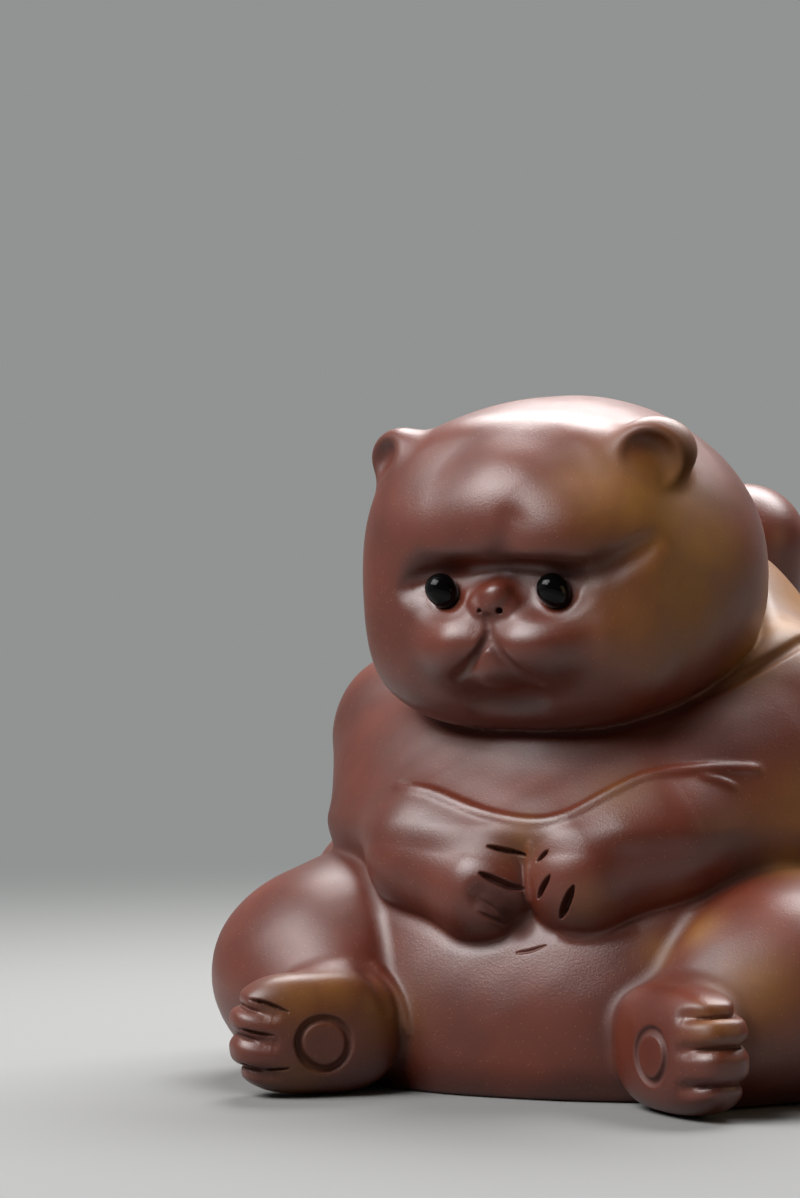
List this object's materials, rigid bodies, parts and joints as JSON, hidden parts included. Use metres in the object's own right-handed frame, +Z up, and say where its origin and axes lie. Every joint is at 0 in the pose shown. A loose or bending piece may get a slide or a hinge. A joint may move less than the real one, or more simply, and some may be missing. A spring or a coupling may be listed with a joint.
{
  "type": "tea pet figurine",
  "caption": "Small hollow clay figure of a fat flat-faced cat sitting upright with its paws on its belly, to stand on a tea tray and be wetted with tea.",
  "frame": {"origin": "middle of the figure's outline, on the surface that it stands on", "axes": "+Z up, the cat faces -Y, and its own left side is +X"},
  "size_m": [0.0938, 0.0874, 0.0883],
  "materials": {
    "clay": "unglazed, burnished satin, reddish brown",
    "bead_glass": "opaque black, polished"
  },
  "bodies": {
    "root": {"torso_shell": "clay", "floor_slab": "clay", "head_shell": "clay", "tail": "clay", "right_ear": "clay", "right_arm": "clay", "right_haunch": "clay", "right_foot": "clay", "right_eye_bead": "bead_glass", "left_ear": "clay", "left_arm": "clay", "left_haunch": "clay", "left_foot": "clay", "left_eye_bead": "bead_glass"}
  },
  "joints": []
}
